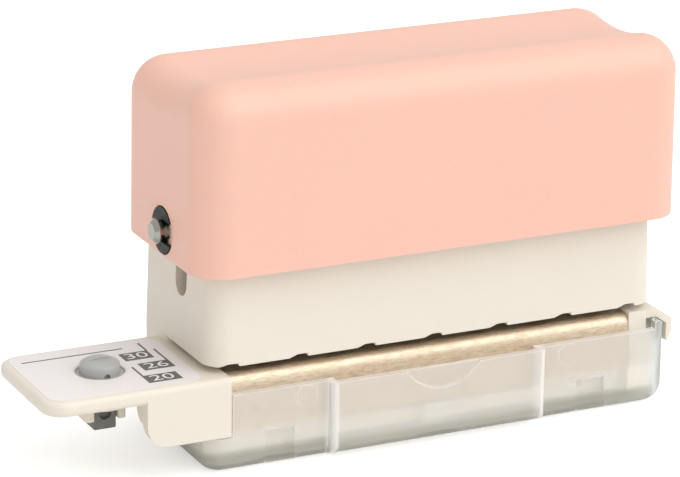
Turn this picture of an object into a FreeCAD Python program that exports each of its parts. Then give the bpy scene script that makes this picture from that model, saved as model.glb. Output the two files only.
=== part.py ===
import FreeCAD, Part
import math
import operator
import os

import Sketcher

# A six-hole punch for ring-binder pages, in millimetres. X runs along the row of holes, Y from
# the front of the punch to its back and Z up. The origin is on the resting face of the chip
# tray, below the middle of the row of holes.

SIZES = {
    # The row of holes and the slot that takes the paper
    "hole_count": (6, "punches in the row"),
    "hole_pitch": (9.5, "from one hole to the next"),
    "hole_bore": (6.0, "diameter of the holes in die and guide"),
    "punch_gap": (0.05, "radial running clearance of a punch"),
    "edge_line": (6.2, "from the row of holes back to the paper's edge"),
    "table_top": (12.8, "height of the die plate's top"),
    "paper_gap": (1.1, "height of the slot that takes the paper"),
    # The upper housing
    "shell_left": (7.25, "from the first hole to the housing's left end"),
    "shell_right": (9.45, "from the last hole to the housing's right end"),
    "shell_depth": (21.5, "housing from front to back"),
    "shell_rise": (23.9, "height of the housing"),
    "shell_wall": (1.8, "housing's wall"),
    "shell_front": (7.6, "from the row of holes to the housing's front face"),
    "shell_corner": (3.2, "radius of the front upright corners"),
    "shell_back_corner": (1.0, "radius of the back upright corners"),
    "shell_draft": (1.7, "housing's draft, in degrees"),
    "slot_width": (3.5, "width of the slot in each end wall"),
    "slot_spare": (0.4, "slot's reach below the shaft at full travel"),
    "notch_depth": (0.4, "height of the notches under the front wall"),
    "notch_ramp": (1.1, "from a cell's boundary to the notch's gentle end"),
    "notch_drop": (1.5, "from a cell's boundary to the notch's steep end"),
    "notch_slope": (0.1, "lean of the notch's steep end"),
    "lip_width": (0.9, "lips in the housing that the guide plate bears on"),
    "lip_height": (1.4, "height of those lips"),
    # The cap and its shaft
    "cap_end_gap": (0.5, "from the housing's ends to the inside of the cap"),
    "cap_side_gap": (0.65, "from the housing's front and back to the inside of the cap"),
    "cap_height": (23.9, "cap from its lower edge to the front rim"),
    "cap_drop": (3.25, "from the shaft's axis down to the cap's lower edge"),
    "cap_wall": (1.8, "cap's wall"),
    "cap_roof": (1.9, "cap's thickness under the dish"),
    "cap_corner": (4.7, "radius of the cap's upright corners and top edges"),
    "cap_draft": (0.4, "cap's draft, in degrees"),
    "cap_fall": (0.7, "fall of the cap's top from front to back"),
    "dish_depth": (1.0, "depth of the dish in the cap's top"),
    "rib_thickness": (1.6, "cap's inner ribs"),
    "rib_length": (11.0, "cap's inner ribs from front to back"),
    "rib_pitches": (2, "cap's inner ribs from the row's middle, in hole pitches"),
    "axle_rise": (15.75, "shaft's axis above the housing's lower edge"),
    "axle_forward": (0.9, "shaft's axis in front of the housing's middle"),
    "axle_bore": (3.3, "diameter of the shaft"),
    "axle_reach": (1.5, "shaft's end beyond the cap's end face"),
    "axle_chamfer": (0.55, "chamfer of the shaft's ends"),
    "axle_gap": (0.05, "radial clearance of the shaft in cap and carrier"),
    "slot_play": (0.05, "shaft's play in the slot at rest"),
    "press_stroke": (6.85, "travel of the cap"),
    "clip_size": (6.1, "outer diameter of the retaining rings"),
    "clip_thick": (0.5, "thickness of the retaining rings"),
    "clip_mouth": (3.0, "opening of the retaining rings"),
    "clip_recess": (0.4, "depth of the recess that a retaining ring sits in"),
    "clip_gap": (0.1, "radial clearance of the ring in its recess and on the neck"),
    "clip_seat": (0.02, "from the recess's floor to the ring"),
    "neck_size": (2.5, "diameter of the shaft's necks"),
    "neck_length": (1.25, "length of the shaft's necks"),
    # The punches and what carries them
    "tip_rise": (0.3, "punch tips above the housing's lower edge"),
    "tip_hollow": (5.0, "radius of the hollow across a tip"),
    "tip_depth": (0.8, "depth of that hollow"),
    "head_size": (7.0, "diameter of a punch's head"),
    "head_thick": (1.5, "thickness of a punch's head"),
    "head_gap": (0.1, "radial clearance of a head in the carrier"),
    "head_chamfer": (0.4, "chamfer of a head"),
    "carrier_drop": (5.15, "carrier's lower face below the shaft's axis"),
    "carrier_rise": (5.15, "carrier's upper face above the shaft's axis"),
    "carrier_gap": (1.2, "from the housing's walls to the carrier, at their foot"),
    "carrier_waist": (5.3, "from the row to where the carrier narrows"),
    "carrier_tail": (4.2, "from a return spring's axis to the end of the carrier's narrow back"),
    "carrier_corner": (1.2, "radius of the carrier's corners"),
    "core_width": (7.0, "width of the cores in the carrier's top"),
    "core_depth": (2.6, "depth of the cores in the carrier's top"),
    "retainer_thick": (1.5, "thickness of the retainer plate"),
    "retainer_back": (5.0, "from the row of holes to the retainer's back"),
    "retainer_gap": (0.1, "radial clearance of a punch in the retainer"),
    "pin_screw_size": (1.6, "diameter of the retainer's screws"),
    "pin_screw_head": (2.8, "diameter of their countersunk heads"),
    "pin_screw_rise": (4.0, "length of the retainer's screws"),
    "pin_screw_y": (3.0, "retainer's screws from the row of holes"),
    "pin_screw_pitches": (2, "outer retainer screws from the row's middle, in hole pitches"),
    "spring_x": (19.0, "return springs from the row's middle"),
    "spring_back": (6.0, "return springs in front of the housing's back"),
    "spring_size": (4.8, "outer diameter of the return springs"),
    "spring_bore": (3.6, "inner diameter of the return springs"),
    "spring_rise": (17.4, "length of the return springs at rest"),
    "spring_room": (0.25, "radial room round a return spring"),
    "post_size": (3.0, "diameter of the spring posts"),
    "post_gap": (0.85, "from a post's top to the carrier at full travel"),
    "guide_thick": (1.5, "thickness of the guide plate"),
    "guide_gap": (0.2, "from the guide plate to the housing's walls"),
    # The die plate
    "die_thick": (1.5, "thickness of the die plate"),
    "die_left": (4.85, "from the first hole to the die plate's left end"),
    "die_right": (5.35, "from the last hole to the die plate's right end"),
    "die_bend": (1.7, "outer radius of the die plate's bend"),
    "die_inner_bend": (0.3, "inner radius of the die plate's bend"),
    "die_skirt": (7.5, "from the die's top down to its flange's lower edge"),
    "die_play": (0.1, "clearance of the die plate in its seat"),
    "die_screw_end": (1.55, "die screws from the die plate's ends"),
    "die_screw_back": (1.7, "die screws in front of the paper's edge"),
    "die_screw_size": (2.0, "diameter of the die screws"),
    "die_screw_head": (3.2, "diameter of their heads"),
    # The base
    "base_floor": (5.2, "height of the base's lower edge"),
    "base_wall": (1.4, "base's front wall and ledge"),
    "skirt_foot": (2.1, "height of the base's skirt, which reaches down inside the tray"),
    "skirt_gap": (0.3, "from that skirt to the tray"),
    "column_width": (3.1, "right column along the row"),
    "column_corner": (1.0, "radius of the column's front corner"),
    "arm_rise": (0.2, "arm's top above the die plate's top"),
    "arm_end": (10.45, "from the stud to the arm's end"),
    "arm_front": (9.0, "from the row of holes to the arm's front"),
    "arm_back": (9.8, "from the row of holes to the arm's back"),
    "arm_thick": (2.0, "thickness of the arm"),
    "arm_corner": (3.0, "radius of the arm's corners"),
    "arm_edge": (0.8, "rounding of the arm's edges"),
    "block_length": (11.3, "block along the row"),
    "block_wall": (1.6, "block's walls"),
    "block_corner": (3.0, "radius of the block's lower corner"),
    "apron_depth": (3.6, "block's left wall from front to back"),
    "apron_rise": (2.9, "height of the block's left wall"),
    "rear_wall": (1.6, "walls of the base's back"),
    "rear_edge": (1.5, "radius of the upright corners in front of the base's back"),
    "rear_roof": (1.6, "roof over the hollows in the base's back"),
    "cell_count": (3, "hollows in the base's back"),
    "cell_end": (8.0, "from the base's ends to the first of those hollows"),
    "cell_rib": (1.6, "ribs between those hollows"),
    "pad_length": (3.2, "corner pads under the die plate's screws"),
    "pad_depth": (1.8, "those pads from the ledge forward"),
    "case_screw_end": (4.1, "housing screws from the housing's ends"),
    "case_screw_back": (3.9, "housing screws in front of the housing's back"),
    "case_screw_size": (2.5, "diameter of the housing screws"),
    "case_screw_head": (4.4, "diameter of their heads"),
    "case_screw_rise": (12.6, "length of the housing screws under the head"),
    "screw_gap": (0.1, "radial clearance of the screws"),
    "screw_head": (1.3, "thickness of the pan heads"),
    "screw_slot": (0.6, "width of the slots in the heads"),
    "screw_slot_depth": (0.6, "depth of the slots in the heads"),
    "boss_size": (4.8, "diameter of the screw bosses in the housing"),
    "boss_rise": (8.4, "height of those bosses"),
    "bore_depth": (3.6, "depth of the screws' counterbores in the base"),
    # The latch hook over the tray's end wall
    "hook_thick": (0.85, "thickness of the hook"),
    "hook_roof": (1.2, "thickness of the hook's top"),
    "hook_gap": (0.15, "from the hook to the tray's right wall"),
    "hook_drop": (4.9, "from the hook's top to its lower end"),
    "hook_front": (7.4, "from the row of holes to the hook's front"),
    "hook_width": (4.7, "hook from front to back"),
    "hook_run": (2.45, "sloping part of the hook's top, along the row"),
    "hook_lean": (0.7, "fall of that part for each millimetre outwards"),
    "hook_lead": (1.5, "height of the slant at the hook's lower end"),
    # The locating stud
    "stud_pitches": (2, "stud from the first hole, in hole pitches"),
    "stud_bore": (6.3, "bore in the arm"),
    "collar_gap": (0.08, "radial clearance of the stud's collar"),
    "stud_size": (5.1, "diameter of the stud's dome"),
    "stud_proud": (2.0, "dome above the arm"),
    "stud_brim": (1.15, "height of the dome's straight side"),
    "stud_shoulder": (0.4, "rounding of the dome's shoulder"),
    "stud_sink": (0.15, "collar's top below the arm's top"),
    "collar_thick": (0.6, "thickness of the collar"),
    "stem_size": (2.0, "diameter of the stud's stem"),
    "stem_gap": (0.1, "radial clearance of the stem"),
    "stud_stroke": (1.9, "travel of the stud"),
    "ridge_front": (0.3, "step across the dome, in front of its axis"),
    "ridge_depth": (0.3, "depth of that step"),
    "nick_size": (0.85, "width of the nick in the dome's front"),
    "nick_depth": (0.5, "depth of that nick"),
    "guide_size": (8.0, "outer diameter of the boss below the arm"),
    "guide_ring": (0.6, "thickness of the ring in the boss"),
    "jaw_width": (5.4, "jaws below the boss, along the row"),
    "jaw_front": (2.1, "from the stud's axis to the front of the jaws"),
    "jaw_back": (2.6, "from the stud's axis to the back of the jaws"),
    "jaw_height": (1.9, "height of the jaws below the ring"),
    "jaw_corner": (0.45, "radius of the jaws' upright corners"),
    "foot_play": (0.15, "from the stud's foot to the jaws"),
    "foot_width": (3.0, "stud's foot along the row"),
    "foot_depth": (3.3, "stud's foot from front to back"),
    "foot_height": (3.15, "height of the stud's foot"),
    "foot_gap": (0.1, "from the foot's top to the ring"),
    "foot_floor": (0.9, "foot's thickness under the stem"),
    "foot_round": (0.2, "rounding of the foot's edges"),
    "foot_hole": (1.6, "diameter of the round recess in the foot's front"),
    "foot_hole_rise": (2.1, "that recess above the foot's lower face"),
    "foot_hole_depth": (0.5, "depth of that recess"),
    "stud_spring_gap": (0.25, "from the stud's spring to its bore"),
    "stud_spring_wall": (1.0, "wall of the sleeve that the stud's conical spring fills"),
    "stud_spring_flat": (0.7, "height of the stud's spring at full travel"),
    # The printed label on the arm
    "label_thick": (0.06, "thickness of the label"),
    "label_inset": (1.0, "label from the arm's edges"),
    "label_gap": (0.9, "from the housing's left end to the label's right edge"),
    "label_corner": (2.0, "radius of the label's corners"),
    "label_room": (0.2, "from the stud's bore to the hole in the label"),
    # The chip tray
    "tray_left_end": (1.2, "from the housing's left end to the tray's"),
    "tray_right_end": (1.75, "from the housing's right end to the tray's"),
    "tray_rear": (0.7, "from the housing's back to the tray's"),
    "flange_gap": (0.25, "from the die plate's flange to the tray's front wall"),
    "tray_wall": (1.0, "tray's walls"),
    "tray_floor": (1.2, "thickness of the tray's floor"),
    "tray_gap": (0.3, "from the tray's rim to the base"),
    "tray_round": (2.6, "rounding of the tray's lower edge"),
    "tray_corner": (3.0, "radius of the tray's upright corners"),
    "wall_top": (10.6, "height of the tray's front wall"),
    "bay_left": (8.55, "from the first hole to the bay's left end"),
    "bay_right": (8.05, "from the last hole to the bay's right end"),
    "bay_proud": (1.2, "bay in front of the tray's front wall"),
    "bay_foot": (0.65, "height of the bay's lower face"),
    "bay_round": (1.75, "rounding of the bay's lower edge"),
    "bay_corner": (0.9, "rounding of the bay's upright edges"),
    "scoop_size": (12.1, "diameter of the finger scoop"),
    "scoop_x": (0.6, "finger scoop from the row's middle"),
    "scoop_drop": (2.9, "depth of the scoop below the wall's top"),
    "scoop_depth": (0.45, "depth of the scoop into the wall"),
    "dot_size": (2.9, "diameter of the round bosses on the front wall"),
    "dot_proud": (0.2, "those bosses in front of the wall"),
    "dot_left": (3.1, "from the bay's left end to the left boss"),
    "dot_right": (3.7, "from the bay's right end to the right boss"),
    "dot_drop": (1.5, "bosses' centres below the wall's top"),
    "spacer_count": (3, "spacers between the tray's front wall and the base's skirt"),
    "spacer_width": (4.3, "spacers along the row"),
    "spacer_step": (22.5, "from one spacer to the next"),
}

SIGNS = {"+": operator.add, "-": operator.sub, "*": operator.mul, "/": operator.truediv}


class Size:
    """A number together with the formula that ties it to the sheet."""

    def __init__(self, value, text):
        self.value = value
        self.text = text

    def __add__(self, other):
        return joined(self, "+", other)

    def __radd__(self, other):
        return joined(other, "+", self)

    def __sub__(self, other):
        return joined(self, "-", other)

    def __rsub__(self, other):
        return joined(other, "-", self)

    def __mul__(self, other):
        return joined(self, "*", other)

    def __rmul__(self, other):
        return joined(other, "*", self)

    def __truediv__(self, other):
        return joined(self, "/", other)

    def __neg__(self):
        return joined(0, "-", self)


def sized(number):
    """The number as a Size, also where it is a plain one."""
    return number if isinstance(number, Size) else Size(number, repr(number))


def joined(first, sign, second):
    """Two numbers joined by a sign, in value and in formula."""
    first = sized(first)
    second = sized(second)
    value = SIGNS[sign](first.value, second.value)
    return Size(value, f"({first.text} {sign} {second.text})")


def root(number):
    """The square root, in value and in formula."""
    return Size(math.sqrt(number.value), f"sqrt({number.text})")


def bind(thing, path, number):
    """Tie one property of an object to the sheet."""
    thing.setExpression(path, sized(number).text)


doc = FreeCAD.newDocument("SixHolePunch")
sheet = doc.addObject("Spreadsheet::Sheet", "Sizes")
for row, (alias, (number, note)) in enumerate(SIZES.items(), start=1):
    sheet.set(f"A{row}", str(number))
    sheet.setAlias(f"A{row}", alias)
    sheet.set(f"B{row}", note)
doc.recompute()


class Driving:
    """The driving sizes by name, as Size objects."""

    def __getattr__(self, alias):
        return Size(SIZES[alias][0], f"Sizes.{alias}")


of = Driving()


# Sketches

def outline(sketch, corners):
    """A closed profile through the corners, given against the clock. A corner's third item is the
    radius of an arc to the next corner: positive bulges outwards, negative inwards."""
    first = sketch.GeometryCount
    count = len(corners)
    places = [FreeCAD.Vector(sized(c[0]).value, sized(c[1]).value, 0) for c in corners]
    ends = []
    for index, corner in enumerate(corners):
        start = places[index]
        end = places[(index + 1) % count]
        if len(corner) == 2:
            sketch.addGeometry(Part.LineSegment(start, end), False)
            ends.append((1, 2))
            continue
        radius = sized(corner[2]).value
        if radius < 0:
            start, end = end, start
        sketch.addGeometry(arc_between(start, end, abs(radius)), False)
        ends.append((1, 2) if radius > 0 else (2, 1))
    for index, corner in enumerate(corners):
        following = (index + 1) % count
        joint = Sketcher.Constraint(
            "Coincident", first + index, ends[index][1], first + following, ends[following][0])
        sketch.addConstraint(joint)
        place(sketch, first + index, ends[index][0], corner[0], corner[1])
        if len(corner) == 3:
            radius = sized(corner[2])
            dimension(sketch, "Radius", (first + index,), radius if radius.value > 0 else -radius)


def arc_between(start, end, radius):
    """The smaller arc from start to end, against the clock."""
    chord = end - start
    height = math.sqrt(max(radius ** 2 - chord.Length ** 2 / 4, 0))
    left = FreeCAD.Vector(-chord.y, chord.x, 0).normalize()
    centre = (start + end) * 0.5 + left * height
    circle = Part.Circle(centre, FreeCAD.Vector(0, 0, 1), radius)
    return Part.ArcOfCircle(circle, circle.parameter(start), circle.parameter(end))


def dimension(sketch, kind, where, number):
    """A dimension of the sketch, tied to the sheet."""
    index = sketch.addConstraint(Sketcher.Constraint(kind, *where, sized(number).value))
    bind(sketch, f"Constraints[{index}]", number)


def place(sketch, geometry, point, x, y):
    """Both distances of a point from the sketch's origin."""
    dimension(sketch, "DistanceX", (-1, 1, geometry, point), x)
    dimension(sketch, "DistanceY", (-1, 1, geometry, point), y)


def box(sketch, left, right, low, high):
    """A plain rectangle."""
    outline(sketch, [(left, low), (right, low), (right, high), (left, high)])


def rounded_box(sketch, left, right, low, high, low_radius, high_radius):
    """A rectangle with rounded corners, of one radius along its low side and one along its high side."""
    outline(sketch, [
        (left + low_radius, low), (right - low_radius, low, low_radius),
        (right, low + low_radius), (right, high - high_radius, high_radius),
        (right - high_radius, high), (left + high_radius, high, high_radius),
        (left, high - high_radius), (left, low + low_radius, low_radius)])


def circle(sketch, x, y, diameter):
    """A circle placed by its centre."""
    radius = sized(diameter).value / 2
    centre = FreeCAD.Vector(sized(x).value, sized(y).value, 0)
    index = sketch.addGeometry(Part.Circle(centre, FreeCAD.Vector(0, 0, 1), radius), False)
    place(sketch, index, 3, x, y)
    dimension(sketch, "Diameter", (index,), diameter)


def upright_slot(sketch, x, low, high, width):
    """A slot with round ends, placed by the centres of its two ends."""
    radius = sized(width).value / 2
    middle = sized(x).value
    bottom = sized(low).value
    top = sized(high).value
    normal = FreeCAD.Vector(0, 0, 1)
    lower = Part.Circle(FreeCAD.Vector(middle, bottom, 0), normal, radius)
    upper = Part.Circle(FreeCAD.Vector(middle, top, 0), normal, radius)
    below = sketch.addGeometry(Part.ArcOfCircle(lower, math.pi, 2 * math.pi), False)
    above = sketch.addGeometry(Part.ArcOfCircle(upper, 0, math.pi), False)
    right = sketch.addGeometry(Part.LineSegment(
        FreeCAD.Vector(middle + radius, bottom, 0), FreeCAD.Vector(middle + radius, top, 0)), False)
    left = sketch.addGeometry(Part.LineSegment(
        FreeCAD.Vector(middle - radius, top, 0), FreeCAD.Vector(middle - radius, bottom, 0)), False)
    for one, end, other, start in ((below, 2, right, 1), (right, 2, above, 1),
                                   (above, 2, left, 1), (left, 2, below, 1)):
        sketch.addConstraint(Sketcher.Constraint("Tangent", one, end, other, start))
    sketch.addConstraint(Sketcher.Constraint("Equal", below, above))
    place(sketch, below, 3, x, low)
    place(sketch, above, 3, x, high)
    dimension(sketch, "Diameter", (below,), width)


# Pieces made by features

# Which way a sketch's own normal points along the third axis: a sketch on the XZ plane looks
# to the front.
FACING = {"XY": 1, "XZ": -1, "YZ": 1}
pieces = []


class Piece:
    """A body with its sketches and features. Its Label is the name of the sub-part."""

    def __init__(self, label, x=0, y=0, z=0):
        self.body = doc.addObject("PartDesign::Body", label)
        self.body.Label = label
        for axis, number in (("x", x), ("y", y), ("z", z)):
            bind(self.body, f"Placement.Base.{axis}", number)
        pieces.append(self.body)

    def datum(self, role):
        """The body's own plane or axis of that role."""
        return [f for f in self.body.Origin.OriginFeatures if f.Role == role][0]

    def sketch(self, plane, level=0):
        """A sketch on one of the body's planes, moved to a level along the third axis."""
        sketch = self.body.newObject("Sketcher::SketchObject", f"{self.body.Label}_{plane}")
        sketch.AttachmentSupport = [(self.datum(f"{plane}_Plane"), "")]
        sketch.MapMode = "FlatFace"
        bind(sketch, "AttachmentOffset.Base.z", level * FACING[plane])
        return sketch

    def feature(self, kind, sketch, length, **settings):
        """A pad or pocket of that sketch."""
        feature = self.body.newObject(f"PartDesign::{kind}", f"{self.body.Label}_{kind}")
        feature.Profile = sketch
        bind(feature, "Length", length)
        taper = settings.pop("taper", None)
        if taper is not None:
            bind(feature, "TaperAngle", taper)
        for name, setting in settings.items():
            setattr(feature, name, setting)
        return feature

    def pad(self, sketch, length, **settings):
        """Material from the sketch along its normal: up, to the front or to the right."""
        return self.feature("Pad", sketch, length, **settings)

    def pocket(self, sketch, length, **settings):
        """A cut from the sketch against its normal: down, to the back or to the left."""
        return self.feature("Pocket", sketch, length, **settings)

    def turned(self, kind, sketch, axis):
        """A Revolution or Groove of the sketch, a full turn about one of its axes."""
        feature = self.body.newObject(f"PartDesign::{kind}", f"{self.body.Label}_{kind}")
        feature.Profile = sketch
        feature.ReferenceAxis = (sketch, [axis])
        feature.Angle = 360
        return feature

    def row(self, feature, step, count):
        """The feature repeated to the right."""
        pattern = self.body.newObject("PartDesign::LinearPattern", f"{self.body.Label}_row")
        pattern.Originals = [feature]
        pattern.Direction = (self.datum("X_Axis"), [""])
        bind(pattern, "Length", step * (count - 1))
        bind(pattern, "Occurrences", count)
        self.body.Tip = pattern
        return pattern

    def edges(self, wanted):
        """Names of the edges of the shape so far that the test picks."""
        doc.recompute()
        shape = self.body.Tip.Shape
        return [f"Edge{n}" for n, edge in enumerate(shape.Edges, start=1) if wanted(edge)]

    def round(self, wanted, radius, kind="Fillet", size="Radius"):
        """The picked edges rounded, or broken by a chamfer."""
        names = self.edges(wanted)
        base = self.body.Tip
        feature = self.body.newObject(f"PartDesign::{kind}", f"{self.body.Label}_{kind}")
        feature.Base = (base, names)
        bind(feature, size, radius)
        return feature


def runs(edge, axis):
    """Whether the edge runs along that axis, or nearly so under a mould's draft."""
    span = edge.Vertexes[-1].Point - edge.Vertexes[0].Point
    return span.Length > 0 and abs(getattr(span, axis)) > 0.99 * span.Length


def middle(edge):
    """The middle of the edge's box."""
    return edge.BoundBox.Center


def near(value, number, reach=0.02):
    """Whether a coordinate is at that size."""
    return abs(value - sized(number).value) < reach


# Pieces made of primitives

def cylinder(label, diameter, height, x=0, y=0, z=0, along="z"):
    """A cylinder from a point upwards, or to the right where it runs along x."""
    solid = doc.addObject("Part::Cylinder", label)
    solid.Label = label
    if along == "x":
        solid.Placement.Rotation = FreeCAD.Rotation(FreeCAD.Vector(0, 1, 0), 90)
    bind(solid, "Radius", sized(diameter) / 2)
    bind(solid, "Height", height)
    for axis, number in (("x", x), ("y", y), ("z", z)):
        bind(solid, f"Placement.Base.{axis}", number)
    return solid


def cone(label, low_diameter, high_diameter, height, x, y, z):
    """A cut-off cone from a point upwards."""
    solid = doc.addObject("Part::Cone", label)
    solid.Label = label
    bind(solid, "Radius1", low_diameter / 2)
    bind(solid, "Radius2", high_diameter / 2)
    bind(solid, "Height", height)
    for axis, number in (("x", x), ("y", y), ("z", z)):
        bind(solid, f"Placement.Base.{axis}", number)
    return solid


def block(label, length, width, height, x, y, z):
    """A box from its lowest corner."""
    solid = doc.addObject("Part::Box", label)
    solid.Label = label
    bind(solid, "Length", length)
    bind(solid, "Width", width)
    bind(solid, "Height", height)
    for axis, number in (("x", x), ("y", y), ("z", z)):
        bind(solid, f"Placement.Base.{axis}", number)
    return solid


def cut(label, base, tool):
    """One solid less another."""
    result = doc.addObject("Part::Cut", label)
    result.Label = label
    result.Base = base
    result.Tool = tool
    return result


def fused(label, *solids):
    """Solids made one."""
    result = doc.addObject("Part::MultiFuse", label)
    result.Label = label
    result.Shapes = list(solids)
    return result


def group(label, members):
    """Like pieces under one name, each still a solid of its own."""
    result = doc.addObject("Part::Compound", label)
    result.Label = label
    result.Links = members
    pieces.append(result)
    return result


def sleeve(label, outer, bore, height, x, y, z, along="z"):
    """A plain tube."""
    wall = cylinder(f"{label}_outside", outer, height, x, y, z, along)
    hole = cylinder(f"{label}_hole", bore, height, x, y, z, along)
    return cut(label, wall, hole)


def pan_screw(label, head, shank, length, x, y, z):
    """A screw that points up, with its slotted head's lower face at z."""
    top = cylinder(f"{label}_head", head, of.screw_head, x, y, z)
    stem = cylinder(f"{label}_stem", shank, of.screw_head + length, x, y, z)
    slot = block(f"{label}_slot", head, of.screw_slot, of.screw_slot_depth,
                 x - head / 2, y - of.screw_slot / 2, z)
    return cut(label, fused(f"{label}_solid", top, stem), slot)


def flush_screw(label, head, shank, sink, length, x, y, z):
    """A countersunk screw that points up, with the face of its head at z."""
    top = cone(f"{label}_head", head, shank, sink, x, y, z)
    stem = cylinder(f"{label}_stem", shank, length, x, y, z)
    slot = block(f"{label}_slot", head, of.screw_slot, sink / 2,
                 x - head / 2, y - of.screw_slot / 2, z)
    return cut(label, fused(f"{label}_solid", top, stem), slot)


# Places worked out from the driving sizes

row_half = of.hole_pitch * (of.hole_count - 1) / 2
housing_z = of.table_top + of.paper_gap
housing_top = housing_z + of.shell_rise
housing_left = -row_half - of.shell_left
housing_right = row_half + of.shell_right
housing_middle = (housing_left + housing_right) / 2
housing_length = housing_right - housing_left
housing_back = of.shell_depth - of.shell_front
press_y = of.shell_depth / 2 - of.shell_front
spring_y = housing_back - of.spring_back
axle_y = press_y - of.axle_forward
axle_z = housing_z + of.axle_rise
cap_z = axle_z - of.cap_drop
cap_top = cap_z + of.cap_height
cap_left = housing_left - of.cap_end_gap - of.cap_wall
cap_right = housing_right + of.cap_end_gap + of.cap_wall
cap_length = cap_right - cap_left
cap_front = -of.shell_front - of.cap_side_gap - of.cap_wall
cap_back = housing_back + of.cap_side_gap + of.cap_wall
cap_ceiling = cap_top - of.cap_fall / 2 - of.dish_depth - of.cap_roof
carrier_z = axle_z - of.carrier_drop
carrier_top = axle_z + of.carrier_rise
carrier_left = housing_left + of.shell_wall + of.carrier_gap
carrier_right = housing_right - of.shell_wall - of.carrier_gap
carrier_front = of.shell_wall + of.carrier_gap - of.shell_front
carrier_back = housing_back - of.shell_wall - of.carrier_gap
guide_top = housing_z + of.guide_thick
tip_z = housing_z + of.tip_rise
die_seat = of.table_top - of.die_thick
die_left = -row_half - of.die_left
die_right = row_half + of.die_right
column_left = die_right + of.die_play
frame_right = column_left + of.column_width
block_right = die_left - of.die_play
block_left = block_right - of.block_length
base_front = of.shell_front - of.die_thick - of.die_play
arm_top = of.table_top + of.arm_rise
arm_z = arm_top - of.arm_thick
stud_x = -row_half - of.stud_pitches * of.hole_pitch
arm_left = stud_x - of.arm_end
collar_top = arm_top - of.stud_sink
collar_z = collar_top - of.collar_thick
ring_top = collar_z - of.stud_stroke - of.stud_spring_flat
ring_z = ring_top - of.guide_ring
jaw_z = ring_z - of.jaw_height
foot_top = ring_z - of.foot_gap
foot_z = foot_top - of.foot_height
screw_seat = of.base_floor + of.bore_depth
skirt_z = sized(of.skirt_foot)
tray_rim = of.base_floor - of.tray_gap
tray_left = housing_left - of.tray_left_end
tray_right = housing_right + of.tray_right_end
tray_front = -of.shell_front - of.flange_gap - of.tray_wall
tray_back = housing_back + of.tray_rear
skirt_back = tray_back - of.tray_wall - of.skirt_gap
wall_left = block_right + of.tray_gap
end_wall_top = arm_top - of.hook_roof - of.hook_gap
end_wall_back = of.edge_line - of.tray_gap
bay_left = -row_half + of.bay_left
bay_right = row_half - of.bay_right


def press_cap():
    """The pink cap: a drafted, rounded box with a dished top, open below."""
    cap = Piece("press_cap")
    sketch = cap.sketch("XY", cap_z)
    box(sketch, cap_left, cap_right, cap_front, cap_back)
    cap.pad(sketch, of.cap_height + of.cap_corner, taper=-of.cap_draft)
    # The dish is one long arc from wall to wall, so that the rounded edges roll into it. It leans
    # back a little, which makes the back rim lower than the front one.
    half = (cap_back - cap_front) / 2 - of.cap_corner
    swing = (half * half + of.dish_depth * of.dish_depth) / of.dish_depth / 2
    barrel = swing - of.cap_corner
    lean = of.cap_fall * swing / half / 2
    centre_z = cap_top - of.cap_corner + root(swing * swing - (half + lean) * (half + lean))
    front = press_y + lean - cap_front
    back = cap_back - press_y - lean
    high = cap_top + 2 * of.cap_corner
    sketch = cap.sketch("YZ", cap_left)
    outline(sketch, [
        (cap_front, centre_z - root(barrel * barrel - front * front), barrel),
        (cap_back, centre_z - root(barrel * barrel - back * back)),
        (cap_back, high), (cap_front, high)])
    cap.pocket(sketch, cap_length, Reversed=True)
    ceiling = cap_top.value - of.cap_fall.value - 2 * of.dish_depth.value
    cap.round(lambda edge: runs(edge, "z") or edge.BoundBox.ZMin > ceiling, of.cap_corner)
    # The hollow inside
    sketch = cap.sketch("XY", cap_z)
    inner = of.cap_corner - of.cap_wall
    rounded_box(sketch, cap_left + of.cap_wall, cap_right - of.cap_wall,
                cap_front + of.cap_wall, cap_back - of.cap_wall, inner, inner)
    cap.pocket(sketch, cap_ceiling - cap_z, taper=-of.cap_draft, Reversed=True)
    cap.round(lambda edge: near(middle(edge).z, cap_ceiling), inner)
    # Ribs that bear on the carrier
    sketch = cap.sketch("XY", carrier_top)
    for side in (-1, 1):
        rib = side * of.hole_pitch * of.rib_pitches
        box(sketch, rib - of.rib_thickness / 2, rib + of.rib_thickness / 2,
            press_y - of.rib_length / 2, press_y + of.rib_length / 2)
    cap.pad(sketch, cap_ceiling - carrier_top + of.cap_roof / 2)
    # Recesses for the retaining rings, and the bore for the shaft
    for end, inwards in ((cap_left, True), (cap_right, False)):
        sketch = cap.sketch("YZ", end)
        circle(sketch, axle_y, axle_z, of.clip_size + 2 * of.clip_gap)
        cap.pocket(sketch, of.clip_recess, Reversed=inwards)
    sketch = cap.sketch("YZ", housing_middle)
    circle(sketch, axle_y, axle_z, of.axle_bore + 2 * of.axle_gap)
    cap.pocket(sketch, cap_length * 2, SideType="Symmetric")


def drive_axle():
    """The steel shaft, with a neck for a retaining ring near each end."""
    axle = Piece("drive_axle", housing_middle, axle_y, axle_z)
    half = cap_length / 2 + of.axle_reach
    radius = of.axle_bore / 2
    neck = of.neck_size / 2
    inner = cap_length / 2 - of.clip_recess
    outer = inner + of.neck_length
    side = [(inner, radius), (inner, neck), (outer, neck), (outer, radius),
            (half - of.axle_chamfer, radius), (half, radius - of.axle_chamfer), (half, 0)]
    mirrored = [(-x, height) for x, height in side]
    sketch = axle.sketch("XZ")
    outline(sketch, [mirrored[-1]] + side[::-1] + mirrored[:-1])
    axle.turned("Revolution", sketch, "H_Axis")


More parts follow.
